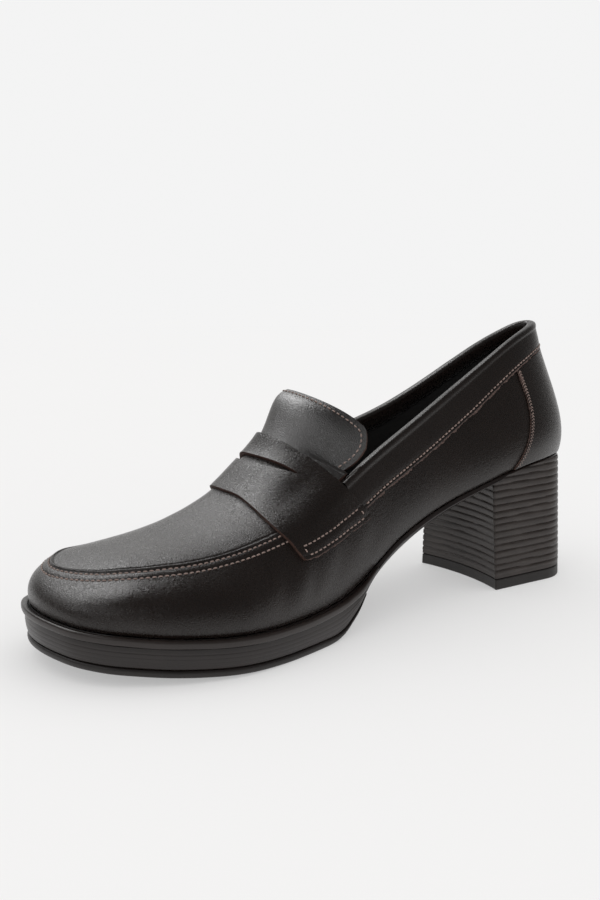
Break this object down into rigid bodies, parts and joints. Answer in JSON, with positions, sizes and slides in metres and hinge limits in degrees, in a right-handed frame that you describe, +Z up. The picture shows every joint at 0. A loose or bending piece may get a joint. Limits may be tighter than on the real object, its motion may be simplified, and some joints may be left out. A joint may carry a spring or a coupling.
{
  "type": "loafer pump",
  "caption": "Women's loafer pump for the left foot: moccasin-seam vamp, saddle strap with slot, raised tongue, banded collar, platform sole with rim and a stacked-look block heel",
  "frame": {"origin": "on the floor under the centre of the shoe's bounding box, shoe standing on its sole", "axes": "+Z up, toe towards -Y and heel towards +Y, the outer (little toe) side towards +X"},
  "size_m": [0.0913, 0.2453, 0.109],
  "materials": {
    "outsole_rubber": "semi-matte dark brown moulded sole",
    "midsole_rubber": "semi-matte dark brown moulded sole with fine lines",
    "welt_rubber": "soft sheen dark brown rim strip",
    "insole_lining": "matte black lining",
    "heel_stack": "ribbed brown heel, stacked look",
    "top_lift_rubber": "matte dark top-lift",
    "upper_leather": "fine-grained dark brown leather with a soft sheen",
    "tongue_leather": "fine-grained dark brown leather with a soft sheen",
    "strap_leather": "fine-grained dark brown leather with raw edges",
    "binding_leather": "smooth dark brown leather band",
    "counter_leather": "smooth dark brown leather"
  },
  "bodies": {
    "root": {"outsole": "outsole_rubber", "midsole": "midsole_rubber", "welt": "welt_rubber", "insole": "insole_lining", "heel": "heel_stack", "heel_top_lift": "top_lift_rubber", "upper": "upper_leather", "tongue": "tongue_leather", "saddle_strap": "strap_leather", "collar_binding": "binding_leather", "heel_counter": "counter_leather"}
  },
  "joints": []
}
